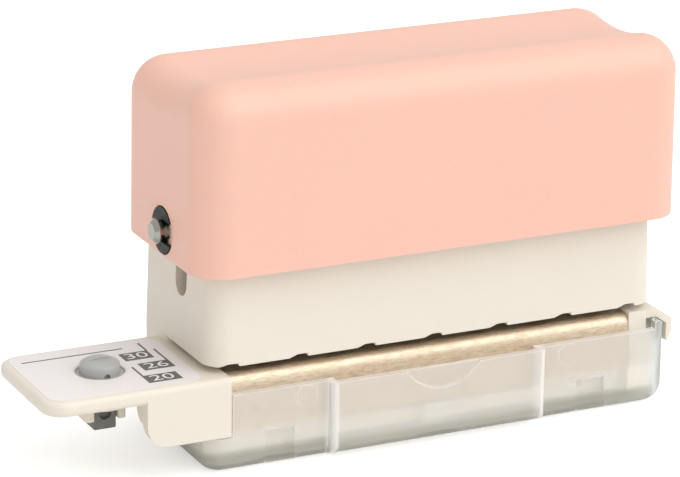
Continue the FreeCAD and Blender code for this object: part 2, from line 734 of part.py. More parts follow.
def axle_clips():
    """A black retaining ring on each neck of the shaft, open to the front."""
    seat = cap_length / 2 - of.clip_recess + of.clip_seat
    places = {"left": housing_middle - seat - of.clip_thick, "right": housing_middle + seat}
    rings = []
    for side, x in places.items():
        ring = sleeve(f"ring_{side}", of.clip_size, of.neck_size + 2 * of.clip_gap, of.clip_thick,
                      x, axle_y, axle_z, "x")
        mouth = block(f"mouth_{side}", of.clip_thick, of.clip_size, of.clip_mouth,
                      x, axle_y - of.clip_size, axle_z - of.clip_mouth / 2)
        rings.append(cut(f"clip_{side}", ring, mouth))
    group("axle_clips", rings)


def punch_carrier():
    """The block that the shaft drives. It holds the punch heads and the return springs."""
    carrier = Piece("punch_carrier")
    tail = of.spring_x + of.carrier_tail
    waist = sized(of.carrier_waist)
    sketch = carrier.sketch("XY", carrier_z)
    outline(sketch, [
        (carrier_left, carrier_front), (carrier_right, carrier_front), (carrier_right, waist),
        (tail, waist), (tail, carrier_back), (-tail, carrier_back), (-tail, waist),
        (carrier_left, waist)])
    carrier.pad(sketch, carrier_top - carrier_z)
    carrier.round(lambda edge: runs(edge, "z"), of.carrier_corner)
    # Cores in the top, one over each punch
    sketch = carrier.sketch("XY", carrier_top)
    box(sketch, -row_half - of.core_width / 2, -row_half + of.core_width / 2,
        -of.core_width / 2, of.core_width / 2)
    carrier.row(carrier.pocket(sketch, of.core_depth), of.hole_pitch, of.hole_count)
    # Seats of the heads, from below
    sketch = carrier.sketch("XY", carrier_z)
    circle(sketch, -row_half, 0, of.head_size + 2 * of.head_gap)
    carrier.row(carrier.pocket(sketch, of.head_thick, Reversed=True), of.hole_pitch, of.hole_count)
    # Seats of the return springs
    sketch = carrier.sketch("XY", carrier_z)
    for side in (-1, 1):
        circle(sketch, side * of.spring_x, spring_y, of.spring_size + 2 * of.spring_room)
    carrier.pocket(sketch, guide_top + of.spring_rise - carrier_z, Reversed=True)
    # Pilot holes of the retainer's screws
    sketch = carrier.sketch("XY", carrier_z)
    for x, y in retainer_screw_places():
        circle(sketch, x, y, of.pin_screw_size + 2 * of.screw_gap)
    carrier.pocket(sketch, of.pin_screw_rise - of.retainer_thick + of.screw_gap, Reversed=True)
    # Bore of the shaft
    sketch = carrier.sketch("YZ")
    circle(sketch, axle_y, axle_z, of.axle_bore + 2 * of.axle_gap)
    carrier.pocket(sketch, housing_length * 2, SideType="Symmetric")


def retainer_screw_places():
    """Three screws in front of the row and two behind it, each between two punches."""
    outer = of.hole_pitch * of.pin_screw_pitches
    front = [(x, -of.pin_screw_y) for x in (-outer, sized(0), outer)]
    back = [(x, of.pin_screw_y) for x in (-outer / 2, outer / 2)]
    return front + back


def punch_retainer():
    """The steel plate under the carrier that keeps the punches in."""
    plate = Piece("punch_retainer")
    low = carrier_z - of.retainer_thick
    sketch = plate.sketch("XY", low)
    rounded_box(sketch, carrier_left, carrier_right, carrier_front, of.retainer_back,
                of.carrier_corner, of.carrier_corner)
    plate.pad(sketch, of.retainer_thick)
    sketch = plate.sketch("XY", low)
    circle(sketch, -row_half, 0, of.hole_bore - 2 * of.punch_gap + 2 * of.retainer_gap)
    plate.row(plate.pocket(sketch, of.retainer_thick, Reversed=True), of.hole_pitch, of.hole_count)
    sketch = plate.sketch("XY", low)
    for x, y in retainer_screw_places():
        circle(sketch, x, y, of.pin_screw_size + 2 * of.screw_gap)
    plate.pocket(sketch, of.retainer_thick, Reversed=True)
    # Countersinks for the screws' heads
    wide = of.pin_screw_head + 2 * of.screw_gap
    narrow = of.pin_screw_size + 2 * of.screw_gap
    plate.round(lambda edge: near(edge.BoundBox.ZMax, low) and near(edge.BoundBox.XLength, narrow),
                (wide - narrow) / 2, "Chamfer", "Size")


def retainer_screws():
    """Countersunk screws that fasten the retainer to the carrier."""
    sink = (of.pin_screw_head - of.pin_screw_size) / 2
    group("retainer_screws", [
        flush_screw(f"retainer_screw_{number}", of.pin_screw_head, of.pin_screw_size, sink,
                    of.pin_screw_rise, x, y, carrier_z - of.retainer_thick)
        for number, (x, y) in enumerate(retainer_screw_places(), start=1)])


def punch(number):
    """One punch: a ground pin with a head, and a hollow across its tip that leaves two points."""
    x = of.hole_pitch * (number - 1) - row_half
    pin = Piece(f"punch_{number}", x, 0, tip_z)
    radius = of.hole_bore / 2 - of.punch_gap
    head = of.head_size / 2
    seat = carrier_z - tip_z
    top = seat + of.head_thick
    sketch = pin.sketch("XZ")
    outline(sketch, [(0, 0), (radius, 0), (radius, seat), (head, seat),
                     (head, top - of.head_chamfer), (head - of.head_chamfer, top), (0, top)])
    pin.turned("Revolution", sketch, "V_Axis")
    sketch = pin.sketch("XZ")
    circle(sketch, 0, of.tip_depth - of.tip_hollow, 2 * of.tip_hollow)
    pin.pocket(sketch, of.head_size * 2, SideType="Symmetric")


def return_springs():
    """The two return springs, each as the sleeve that its turns fill."""
    for side, name in ((-1, "left"), (1, "right")):
        label = f"return_spring_{name}"
        pieces.append(sleeve(label, of.spring_size, of.spring_bore, of.spring_rise,
                             side * of.spring_x, spring_y, guide_top))


def spring_posts():
    """Pins through the guide plate that centre the return springs."""
    group("spring_posts", [
        cylinder(f"spring_post_{name}", of.post_size,
                 of.guide_thick + of.spring_rise - of.press_stroke - of.post_gap,
                 side * of.spring_x, spring_y, housing_z)
        for side, name in ((-1, "left"), (1, "right"))])


def case_screw_places():
    """The two screws that hold base, guide plate and housing together."""
    back = housing_back - of.case_screw_back
    return [(housing_left + of.case_screw_end, back), (housing_right - of.case_screw_end, back)]


def guide_plate():
    """The steel plate in the housing's mouth that guides the punches."""
    plate = Piece("guide_plate")
    inset = of.shell_wall + of.guide_gap
    sketch = plate.sketch("XY", housing_z)
    corner = of.shell_corner - of.shell_wall
    rounded_box(sketch, housing_left + inset, housing_right - inset,
                inset - of.shell_front, housing_back - inset, corner, corner)
    plate.pad(sketch, of.guide_thick)
    sketch = plate.sketch("XY", housing_z)
    circle(sketch, -row_half, 0, of.hole_bore)
    plate.row(plate.pocket(sketch, of.guide_thick, Reversed=True), of.hole_pitch, of.hole_count)
    sketch = plate.sketch("XY", housing_z)
    for side in (-1, 1):
        circle(sketch, side * of.spring_x, spring_y, of.post_size)
    for x, y in case_screw_places():
        circle(sketch, x, y, of.case_screw_size + 2 * of.screw_gap)
    plate.pocket(sketch, of.guide_thick, Reversed=True)


def housing():
    """The cream upper housing: a drafted wall with end slots, bosses and a notched lower edge."""
    shell = Piece("housing")
    sketch = shell.sketch("XY", housing_z)
    rounded_box(sketch, housing_left, housing_right, -of.shell_front, housing_back,
                of.shell_corner, of.shell_back_corner)
    shell.pad(sketch, of.shell_rise, taper=-of.shell_draft)
    sketch = shell.sketch("XY", housing_z)
    inner = of.shell_corner - of.shell_wall
    rounded_box(sketch, housing_left + of.shell_wall, housing_right - of.shell_wall,
                of.shell_wall - of.shell_front, housing_back - of.shell_wall, inner, inner)
    shell.pocket(sketch, of.shell_rise, taper=-of.shell_draft, Reversed=True)
    # Screw bosses in the back corners, on the guide plate
    sketch = shell.sketch("XY", guide_top)
    for x, y in case_screw_places():
        circle(sketch, x, y, of.boss_size)
    shell.pad(sketch, of.boss_rise)
    sketch = shell.sketch("XY", guide_top)
    for x, y in case_screw_places():
        circle(sketch, x, y, of.case_screw_size + 2 * of.screw_gap)
    shell.pocket(sketch, of.boss_rise - of.shell_wall / 2, Reversed=True)
    # Lips at both ends that the guide plate bears on
    sketch = shell.sketch("XY", guide_top)
    footing = of.shell_wall / 2
    for low, high in ((housing_left + footing, housing_left + of.shell_wall + of.lip_width),
                      (housing_right - of.shell_wall - of.lip_width, housing_right - footing)):
        box(sketch, low, high, of.shell_corner - of.shell_front, of.edge_line)
    shell.pad(sketch, of.lip_height)
    # The slots that the shaft travels in
    sketch = shell.sketch("YZ", housing_middle)
    upright_slot(sketch, axle_y, axle_z - of.press_stroke - of.slot_spare, axle_z + of.slot_play,
                 of.slot_width)
    shell.pocket(sketch, housing_length * 2, SideType="Symmetric")
    # Notches under the front wall, one at each boundary between two cells
    sketch = shell.sketch("XZ", -of.shell_front)
    first = -row_half - of.hole_pitch / 2
    outline(sketch, [
        (first - of.notch_ramp, housing_z), (first + of.notch_drop, housing_z),
        (first + of.notch_drop - of.notch_slope, housing_z + of.notch_depth),
        (first, housing_z + of.notch_depth)])
    notch = shell.pocket(sketch, of.shell_wall + of.guide_gap)
    shell.row(notch, of.hole_pitch, of.hole_count + 1)


def housing_screws():
    """Screws up through the base and the guide plate into the housing's bosses."""
    group("housing_screws", [
        pan_screw(f"housing_screw_{number}", of.case_screw_head, of.case_screw_size,
                  of.case_screw_rise, x, y, screw_seat - of.screw_head)
        for number, (x, y) in enumerate(case_screw_places(), start=1)])


def die_screw_places():
    """The two screws in the back corners of the die plate."""
    back = of.edge_line - of.die_screw_back
    return [(die_left + of.die_screw_end, back), (die_right - of.die_screw_end, back)]


def die_plate():
    """The bent steel plate with the six die holes. Its front flange hangs over the base's front wall."""
    plate = Piece("die_plate")
    front = -of.shell_front
    back = of.edge_line - of.die_play
    low = of.table_top - of.die_skirt
    sketch = plate.sketch("YZ", die_left)
    outline(sketch, [
        (front, low), (front + of.die_thick, low),
        (front + of.die_thick, die_seat - of.die_inner_bend, -of.die_inner_bend),
        (front + of.die_thick + of.die_inner_bend, die_seat),
        (back, die_seat), (back, sized(of.table_top)),
        (front + of.die_bend, sized(of.table_top), of.die_bend),
        (front, of.table_top - of.die_bend)])
    plate.pad(sketch, die_right - die_left)
    sketch = plate.sketch("XY", of.table_top)
    circle(sketch, -row_half, 0, of.hole_bore)
    plate.row(plate.pocket(sketch, of.die_thick), of.hole_pitch, of.hole_count)
    sketch = plate.sketch("XY", of.table_top)
    for x, y in die_screw_places():
        circle(sketch, x, y, of.die_screw_size + 2 * of.screw_gap)
    plate.pocket(sketch, of.die_thick)


def die_screws():
    """Screws up through the base's corner pads into the die plate."""
    group("die_screws", [
        pan_screw(f"die_screw_{number}", of.die_screw_head, of.die_screw_size,
                  of.table_top - screw_seat - of.die_play, x, y, screw_seat - of.screw_head)
        for number, (x, y) in enumerate(die_screw_places(), start=1)])


def base():
    """The cream lower frame with the chip chute, the side arm, the block and the latch hook."""
    frame = Piece("base")
    left = housing_left
    floor = of.base_floor
    # The back, which the housing stands on and the paper stops at
    sketch = frame.sketch("XY", floor)
    rounded_box(sketch, left, housing_right, of.edge_line, housing_back,
                of.rear_edge, of.shell_back_corner)
    frame.pad(sketch, housing_z - floor)
    # Its skirt, which fits inside the tray
    sketch = frame.sketch("XY", skirt_z)
    rounded_box(sketch, left, frame_right, of.edge_line, skirt_back,
                of.rear_edge, of.tray_corner - of.tray_wall)
    frame.pad(sketch, floor - skirt_z + of.rear_wall)
    # The front frame under the die plate, down to the skirt's foot
    sketch = frame.sketch("XY", skirt_z)
    box(sketch, left, frame_right, -base_front, of.edge_line + of.rear_wall)
    frame.pad(sketch, die_seat - skirt_z)
    # Its upper front edge clears the inside of the die plate's bend.
    frame.round(lambda edge: runs(edge, "x") and near(middle(edge).y, -base_front)
                and near(middle(edge).z, die_seat), of.die_inner_bend + of.die_play)
    # The right column
    sketch = frame.sketch("XY", skirt_z)
    box(sketch, column_left, frame_right, -of.shell_front, of.edge_line + of.rear_wall)
    frame.pad(sketch, arm_top - skirt_z)
    frame.round(lambda edge: runs(edge, "z") and near(middle(edge).x, frame_right)
                and near(middle(edge).y, -of.shell_front), of.column_corner)
    # The arm and the top of the block
    sketch = frame.sketch("XY", arm_z)
    outline(sketch, [
        (arm_left + of.arm_corner, -of.arm_front), (block_right, -of.arm_front),
        (block_right, of.edge_line), (left + of.rear_wall, of.edge_line),
        (left + of.rear_wall, of.arm_back),
        (arm_left + of.arm_corner, of.arm_back, of.arm_corner),
        (arm_left, of.arm_back - of.arm_corner),
        (arm_left, of.arm_corner - of.arm_front, of.arm_corner)])
    frame.pad(sketch, of.arm_thick)
    arm_edges(frame)
    # The block's front wall, with its large lower corner
    sketch = frame.sketch("XZ", of.block_wall - of.arm_front)
    outline(sketch, [
        (block_left + of.block_corner, floor), (block_right, floor),
        (block_right, arm_top - of.arm_edge), (block_left, arm_top - of.arm_edge),
        (block_left, floor + of.block_corner, of.block_corner)])
    frame.pad(sketch, of.block_wall)
    # What joins that wall to the frame
    sketch = frame.sketch("XY", floor)
    box(sketch, left, block_right, of.block_wall / 2 - of.arm_front, of.base_wall - base_front)
    frame.pad(sketch, arm_z - floor)
    # The block's short left wall
    sketch = frame.sketch("YZ", block_left)
    back = of.apron_depth - of.arm_front
    low = arm_z - of.apron_rise
    outline(sketch, [
        (of.block_wall / 2 - of.arm_front, low), (back - of.apron_depth / 2, low, of.apron_depth / 2),
        (back, low + of.apron_depth / 2), (back, arm_z + of.arm_thick / 2),
        (of.block_wall / 2 - of.arm_front, arm_z + of.arm_thick / 2)])
    frame.pad(sketch, of.block_wall)
    chute(frame)
    stud_guide(frame)
    screw_bores(frame)
    latch_hook(frame)


def arm_edges(frame):
    """The soft edges round the arm."""
    def on_rim(edge):
        """Whether the edge lies on the arm's outline, outside the frame."""
        centre = middle(edge)
        outside = centre.x < housing_left.value - of.arm_edge.value or near(centre.y, -of.arm_front)
        flat = near(centre.z, arm_top) or near(centre.z, arm_z)
        return flat and outside and edge.BoundBox.XMax < block_right.value + of.arm_edge.value
    frame.round(on_rim, of.arm_edge)


def chute(frame):
    """The open way for the chips, with pads for the die plate's screws, and the ribbed back."""
    left = block_right
    right = column_left
    front = of.base_wall - base_front
    back = of.edge_line - of.base_wall
    pad_left = left + of.pad_length
    pad_right = right - of.pad_length
    pad_front = back - of.pad_depth
    sketch = frame.sketch("XY", skirt_z)
    outline(sketch, [
        (left, front), (right, front), (right, pad_front), (pad_right, pad_front),
        (pad_right, back), (pad_left, back), (pad_left, pad_front), (left, pad_front)])
    frame.pocket(sketch, die_seat - skirt_z, Reversed=True)
    # Three hollows side by side in the back, opened from below
    sketch = frame.sketch("XY", skirt_z)
    step = (housing_length - 2 * of.cell_end + of.cell_rib) / of.cell_count
    first = housing_left + of.cell_end
    box(sketch, first, first + step - of.cell_rib,
        of.edge_line + of.rear_wall, housing_back - of.rear_wall)
    hollow = frame.pocket(sketch, housing_z - of.rear_roof - skirt_z, Reversed=True)
    frame.row(hollow, step, of.cell_count)


def stud_guide(frame):
    """The boss below the arm that the locating stud slides in, and the jaws round its foot."""
    sketch = frame.sketch("XY", ring_z)
    circle(sketch, stud_x, 0, of.guide_size)
    frame.pad(sketch, arm_z - ring_z + of.arm_thick / 2)
    half = of.jaw_width / 2
    way = of.foot_width / 2 + of.foot_play
    seat = of.foot_depth / 2 + of.foot_play
    sketch = frame.sketch("XY", jaw_z)
    outline(sketch, [
        (stud_x - half, -of.jaw_front), (stud_x - way, -of.jaw_front), (stud_x - way, seat),
        (stud_x + way, seat), (stud_x + way, -of.jaw_front), (stud_x + half, -of.jaw_front),
        (stud_x + half, of.jaw_back), (stud_x - half, of.jaw_back)])
    frame.pad(sketch, of.jaw_height + of.guide_ring / 2)
    frame.round(lambda edge: runs(edge, "z") and near(edge.BoundBox.ZMin, jaw_z)
                and near(abs(middle(edge).x - stud_x.value), half), of.jaw_corner)
    sketch = frame.sketch("XY", arm_top)
    circle(sketch, stud_x, 0, of.stud_bore)
    frame.pocket(sketch, arm_top - ring_top)
    sketch = frame.sketch("XY", ring_top)
    circle(sketch, stud_x, 0, of.stem_size + 2 * of.stem_gap)
    frame.pocket(sketch, of.guide_ring)


def screw_bores(frame):
    """Counterbored holes for the screws that come up from below."""
    for places, shank, head in (
            (case_screw_places(), of.case_screw_size, of.case_screw_head),
            (die_screw_places(), of.die_screw_size, of.die_screw_head)):
        for depth, diameter in ((housing_z - skirt_z, shank), (screw_seat - skirt_z, head)):
            sketch = frame.sketch("XY", skirt_z)
            for x, y in places:
                circle(sketch, x, y, diameter + 2 * of.screw_gap)
            frame.pocket(sketch, depth, Reversed=True)


def latch_hook(frame):
    """The hook that reaches over the tray's right wall, with a sloping top."""
    inner = tray_right + of.hook_gap
    outer = inner + of.hook_thick
    under = arm_top - of.hook_roof
    low = arm_top - of.hook_drop
    tip = of.hook_thick / 3
    bend = outer - of.hook_run
    start = frame_right - of.hook_thick
    sketch = frame.sketch("XZ", of.hook_width - of.hook_front)
    outline(sketch, [
        (start, under), (bend, under), (inner, under - (inner - bend) * of.hook_lean),
        (inner, low + tip, tip), (inner + tip, low), (outer, low + of.hook_lead),
        (outer, arm_top - of.hook_run * of.hook_lean), (bend, arm_top), (start, arm_top)])
    frame.pad(sketch, of.hook_width)


def gauge_label():
    """The thin printed label on the arm, with a hole round the stud."""
    label = Piece("gauge_label")
    sketch = label.sketch("XY", arm_top)
    rounded_box(sketch, arm_left + of.label_inset, housing_left - of.label_gap,
                of.label_inset - of.arm_front, of.arm_back - of.label_inset,
                of.label_corner, of.label_corner)
    label.pad(sketch, of.label_thick)
    sketch = label.sketch("XY", arm_top)
    circle(sketch, stud_x, 0, of.stud_bore + 2 * of.label_room)
    label.pocket(sketch, of.label_thick, Reversed=True)


def locating_stud():
    """The grey stud: dome, collar and stem."""
    stud = Piece("locating_stud", stud_x, 0, collar_z)
    dome = of.stud_size / 2
    brim = of.stud_sink + of.stud_brim + of.collar_thick
    top = of.collar_thick + of.stud_sink + of.stud_proud
    rise = top - brim
    curve = (dome * dome + rise * rise) / rise / 2
    low = foot_z + of.foot_floor - collar_z
    stem = of.stem_size / 2
    collar = of.stud_bore / 2 - of.collar_gap
    sketch = stud.sketch("XZ")
    outline(sketch, [
        (0, low), (stem, low), (stem, 0), (collar, 0),
        (collar, of.collar_thick), (dome, of.collar_thick),
        (dome, brim, curve), (0, top)])
    stud.turned("Revolution", sketch, "V_Axis")
    stud.round(lambda edge: near(edge.BoundBox.ZMin, brim) and near(edge.BoundBox.ZMax, brim),
               of.stud_shoulder)
    # A low step across the dome
    sketch = stud.sketch("XY", top - of.ridge_depth)
    box(sketch, -dome, dome, -dome, -of.ridge_front)
    stud.pocket(sketch, of.ridge_depth * 2, Reversed=True)
    # The nick at the foot of the dome's front
    nick = of.nick_size / 2
    level = of.collar_thick + of.stud_sink
    sketch = stud.sketch("XZ", -dome)
    outline(sketch, [
        (-nick, of.collar_thick), (nick, of.collar_thick), (nick, level, nick),
        (0, level + nick, nick), (-nick, level)])
    stud.pocket(sketch, of.nick_depth)


def stud_foot():
    """The dark foot pressed on the stud's stem, below the ring."""
    foot = Piece("stud_foot", stud_x, 0, foot_z)
    wide = of.foot_width / 2
    deep = of.foot_depth / 2
    sketch = foot.sketch("XY")
    box(sketch, -wide, wide, -deep, deep)
    foot.pad(sketch, of.foot_height)
    foot.round(lambda edge: near(edge.BoundBox.ZMax, 0) or runs(edge, "z"), of.foot_round)
    sketch = foot.sketch("XY", of.foot_height)
    circle(sketch, 0, 0, of.stem_size)
    foot.pocket(sketch, of.foot_height - of.foot_floor)
    sketch = foot.sketch("XZ", -deep)
    circle(sketch, 0, of.foot_hole_rise, of.foot_hole)
    foot.pocket(sketch, of.foot_hole_depth)


def stud_spring():
    """The spring under the stud's collar, as the sleeve that its turns fill."""
    outer = of.stud_bore - 2 * of.stud_spring_gap
    pieces.append(sleeve("stud_spring", outer, outer - 2 * of.stud_spring_wall,
                         collar_z - ring_top, stud_x, 0, ring_top))


def chip_tray():
    """The clear tray: a low rim all round, a tall front wall with a bay, and a tall right wall."""
    tray = Piece("chip_tray")
    front = tray_front
    back = tray_back
    wall = sized(of.tray_wall)
    solid = tray_front + of.tray_corner
    sketch = tray.sketch("XY")
    rounded_box(sketch, tray_left, tray_right, front, back, of.tray_corner, of.tray_corner)
    tray.pad(sketch, tray_rim)
    sketch = tray.sketch("XY", tray_rim)
    outline(sketch, [
        (wall_left, front), (tray_right - of.tray_corner, front, of.tray_corner),
        (tray_right, solid), (tray_right, end_wall_back),
        (tray_right - of.tray_corner, end_wall_back), (tray_right - of.tray_corner, solid),
        (wall_left, solid)])
    tray.pad(sketch, of.wall_top - tray_rim)
    tray.round(lambda edge: edge.BoundBox.ZMax < 0.01, of.tray_round)
    # The bay in the middle of the front wall ends above the tray's lower face.
    foot = sized(of.bay_foot)
    bay_front = front - of.bay_proud
    sketch = tray.sketch("XY", foot)
    box(sketch, bay_left, bay_right, bay_front, solid)
    tray.pad(sketch, of.wall_top - foot)
    tray.round(lambda edge: runs(edge, "z") and near(middle(edge).y, bay_front), of.bay_corner)
    sketch = tray.sketch("YZ", bay_right + wall)
    outline(sketch, [
        (bay_front - wall, foot - wall / 2), (bay_front + of.bay_round, foot - wall / 2),
        (bay_front + of.bay_round, foot, -of.bay_round), (bay_front, foot + of.bay_round),
        (bay_front - wall, foot + of.bay_round)])
    tray.pocket(sketch, bay_right - bay_left + 2 * wall)
    # The right wall rises to the hook, and so does the corner in front of it.
    corner_left = frame_right + of.tray_gap
    reach = corner_left - tray_right + of.tray_corner
    depth = root(of.tray_corner * of.tray_corner - reach * reach)
    sketch = tray.sketch("XY", of.wall_top)
    outline(sketch, [
        (corner_left, solid - depth, of.tray_corner), (tray_right, solid),
        (tray_right, end_wall_back), (corner_left, end_wall_back)])
    tray.pad(sketch, end_wall_top - of.wall_top)
    # The hollow of the tray and that of the bay
    inner = of.tray_corner - wall
    sketch = tray.sketch("XY", of.tray_floor)
    rounded_box(sketch, tray_left + wall, tray_right - wall, front + wall, back - wall,
                inner, inner)
    tray.pocket(sketch, end_wall_top - of.tray_floor, Reversed=True)
    sketch = tray.sketch("XY", foot + wall)
    box(sketch, bay_left + wall, bay_right - wall, bay_front + wall, front + 2 * wall)
    tray.pocket(sketch, of.wall_top - foot - wall, Reversed=True)
    # The slope on top of the right wall, under that of the hook
    run = of.hook_run - of.hook_thick - of.hook_gap
    low = end_wall_top - run * of.hook_lean
    sketch = tray.sketch("XZ", front)
    outline(sketch, [
        (tray_right - run, end_wall_top), (tray_right, low), (tray_right + wall, low),
        (tray_right + wall, end_wall_top + wall), (tray_right - run, end_wall_top + wall)])
    tray.pocket(sketch, end_wall_back - front)
    tray_details(tray, front)


def tray_details(tray, front):
    """The scoop, the round bosses and the spacers of the tray."""
    sketch = tray.sketch("XZ", front - of.bay_proud)
    circle(sketch, of.scoop_x, of.wall_top - of.scoop_drop + of.scoop_size / 2, of.scoop_size)
    tray.pocket(sketch, of.scoop_depth)
    sketch = tray.sketch("XZ", front + of.tray_wall / 2)
    for x in (bay_left - of.dot_left, bay_right + of.dot_right):
        circle(sketch, x, of.wall_top - of.dot_drop, of.dot_size)
    tray.pad(sketch, of.tray_wall / 2 + of.dot_proud)
    # Spacers between the front wall and the base's skirt
    sketch = tray.sketch("XY", of.tray_floor / 2)
    box(sketch, -row_half, of.spacer_width - row_half,
        front + of.tray_wall / 2, -base_front - of.skirt_gap)
    tray.row(tray.pad(sketch, tray_rim - of.tray_floor / 2), of.spacer_step, of.spacer_count)


press_cap()
drive_axle()
axle_clips()
punch_carrier()
punch_retainer()
retainer_screws()
for number in range(1, SIZES["hole_count"][0] + 1):
    punch(number)
return_springs()
spring_posts()
guide_plate()
housing()
housing_screws()
die_plate()
die_screws()
base()
gauge_label()
locating_stud()
stud_foot()
stud_spring()
chip_tray()
doc.recompute()

# Nothing is written unless every object and every shape is sound.

faults = [f"{thing.Label}: {thing.State}" for thing in doc.Objects
          if "Invalid" in thing.State or "Error" in thing.State]
faults += [f"{piece.Label}: bad shape" for piece in pieces
           if piece.Shape.isNull() or not piece.Shape.isValid()]
if faults:
    raise SystemExit("Not written: " + ", ".join(faults))

os.makedirs("parts", exist_ok=True)
for piece in pieces:
    piece.Shape.exportStep(f"parts/{piece.Label}.step")
    box_size = piece.Shape.optimalBoundingBox(False, False)
    print(f"{piece.Label}: {len(piece.Shape.Solids)} solid(s), {piece.Shape.Volume:.1f} mm3, "
          f"{box_size.XLength:.2f} x {box_size.YLength:.2f} x {box_size.ZLength:.2f} mm")
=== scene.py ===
# %% [markdown]
# # A six-hole punch, dressed for its picture
#
# The solids of the punch come from its CAD model: the cap, the housing, the die plate, the base,
# the stud and the chip tray are already the right shape and in the right place. This script gives
# every one of them the finish of the real thing, adds what a plain solid leaves out, and sets up
# the light and the camera. All lengths are in metres, in the frame of the CAD model: X runs along
# the row of punches, Y to the back and Z up.

import math

import bmesh
import bpy
from mathutils import Matrix, Vector


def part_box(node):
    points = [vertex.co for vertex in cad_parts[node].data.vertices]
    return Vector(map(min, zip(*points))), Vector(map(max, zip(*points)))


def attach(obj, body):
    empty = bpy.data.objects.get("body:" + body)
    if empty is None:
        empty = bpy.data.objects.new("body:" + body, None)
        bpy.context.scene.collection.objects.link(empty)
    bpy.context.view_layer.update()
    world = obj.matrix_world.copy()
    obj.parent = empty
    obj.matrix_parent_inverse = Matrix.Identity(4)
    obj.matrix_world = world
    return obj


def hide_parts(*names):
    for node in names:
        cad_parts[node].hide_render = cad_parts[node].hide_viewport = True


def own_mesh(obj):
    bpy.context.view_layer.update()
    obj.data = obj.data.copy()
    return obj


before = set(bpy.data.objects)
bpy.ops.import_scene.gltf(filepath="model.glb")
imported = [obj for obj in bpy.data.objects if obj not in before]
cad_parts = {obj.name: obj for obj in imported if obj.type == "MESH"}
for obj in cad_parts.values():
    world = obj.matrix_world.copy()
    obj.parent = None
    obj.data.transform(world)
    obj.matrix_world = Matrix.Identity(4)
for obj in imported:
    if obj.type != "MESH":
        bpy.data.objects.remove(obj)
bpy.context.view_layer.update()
MM = 0.001

# %% [markdown]
# ## The camera
#
# The picture was taken with a long lens from the left front, a little above the punch. A camera
# can be aimed with a Track To constraint, but its exact turn is easier to state as three axes:
# the direction in which it looks back, and the picture's right and up.

# %% Aim the camera
AZIMUTH = math.radians(-25.90)
ELEVATION = math.radians(18.35)
ROLL = math.radians(-0.80)
LENS = 182.8
EYE = Vector((-0.19263, -0.37690, 0.16508))

back = Vector((math.sin(AZIMUTH) * math.cos(ELEVATION),
               -math.cos(AZIMUTH) * math.cos(ELEVATION), math.sin(ELEVATION)))
level = Vector((0, 0, 1)).cross(back).normalized()
rise = back.cross(level)
right = level * math.cos(ROLL) - rise * math.sin(ROLL)
up = level * math.sin(ROLL) + rise * math.cos(ROLL)

lens = bpy.data.cameras.new("view")
lens.lens = LENS
lens.sensor_width = 36.0
lens.clip_start = 0.01
lens.clip_end = 50.0
camera = bpy.data.objects.new("view", lens)
turn = Matrix((right, up, back)).transposed().to_4x4()
camera.matrix_world = Matrix.Translation(EYE) @ turn
bpy.context.scene.collection.objects.link(camera)
bpy.context.scene.camera = camera
print("camera stands", round(EYE.length / MM), "mm from the origin")

# %% [markdown]
# ## The light
#
# A white studio sweep lights the punch from all round, a little less from the left, and one large
# soft lamp at the right front makes the front and the top brighter than the left end. The world
# does the first part. Where the camera or a clear wall looks past the punch, it sees plain white.

# %% Light the world
SKY_COLOUR = (1.0, 0.99, 0.975, 1)
SKY_LEFT = 0.65
SKY_RIGHT = 0.75
WHITE = (1, 1, 1, 1)

world = bpy.data.worlds.new("sweep")
bpy.context.scene.world = world
world.use_nodes = True
nodes = world.node_tree.nodes
links = world.node_tree.links
nodes.clear()


def seen_directly(nodes, links):
    """1 for rays from the camera or a clear wall, else 0."""
    path = nodes.new("ShaderNodeLightPath")
    either = nodes.new("ShaderNodeMath")
    either.operation = "MAXIMUM"
    links.new(path.outputs["Is Camera Ray"], either.inputs[0])
    links.new(path.outputs["Is Transmission Ray"], either.inputs[1])
    return either.outputs[0]


soft_sky = nodes.new("ShaderNodeBackground")
soft_sky.inputs["Color"].default_value = SKY_COLOUR
direction = nodes.new("ShaderNodeTexCoord")
parts = nodes.new("ShaderNodeSeparateXYZ")
links.new(direction.outputs["Generated"], parts.inputs["Vector"])
sky_level = nodes.new("ShaderNodeMapRange")
sky_level.inputs["From Min"].default_value = -1.0
sky_level.inputs["From Max"].default_value = 1.0
sky_level.inputs["To Min"].default_value = SKY_LEFT
sky_level.inputs["To Max"].default_value = SKY_RIGHT
links.new(parts.outputs["X"], sky_level.inputs["Value"])
links.new(sky_level.outputs["Result"], soft_sky.inputs["Strength"])
white_sky = nodes.new("ShaderNodeBackground")
white_sky.inputs["Color"].default_value = WHITE
sky = nodes.new("ShaderNodeMixShader")
links.new(seen_directly(nodes, links), sky.inputs[0])
links.new(soft_sky.outputs[0], sky.inputs[1])
links.new(white_sky.outputs[0], sky.inputs[2])
links.new(sky.outputs[0], nodes.new("ShaderNodeOutputWorld").inputs[0])
print("the sky's strength runs from", SKY_LEFT, "at the left to", SKY_RIGHT, "at the right")

# %% [markdown]
# The soft lamp is a sun whose disc is very wide, so the shadow's edge is soft.

# %% Hang the lamps
LAMPS = {
    # Where it stands, its strength and how wide it is in degrees
    "key": ((0.34, -0.50, 0.80), 1.44, 66),
}

for name, (towards, strength, softness) in LAMPS.items():
    lamp = bpy.data.lights.new(name, "SUN")
    lamp.energy = strength
    lamp.angle = math.radians(softness)
    holder = bpy.data.objects.new(name, lamp)
    holder.rotation_euler = Vector(towards).to_track_quat("Z", "Y").to_euler()
    bpy.context.scene.collection.objects.link(holder)
    print("lamp", name, "strength", strength)

# %% [markdown]
# ## The floor
#
# The punch stands on a plain sheet of white board. A plane is enough, because nothing but its
# colour and the soft shadow under the punch shows. A faint glow, which only the camera and the
# clear walls see, brings the board up to the white of the sweep behind it.

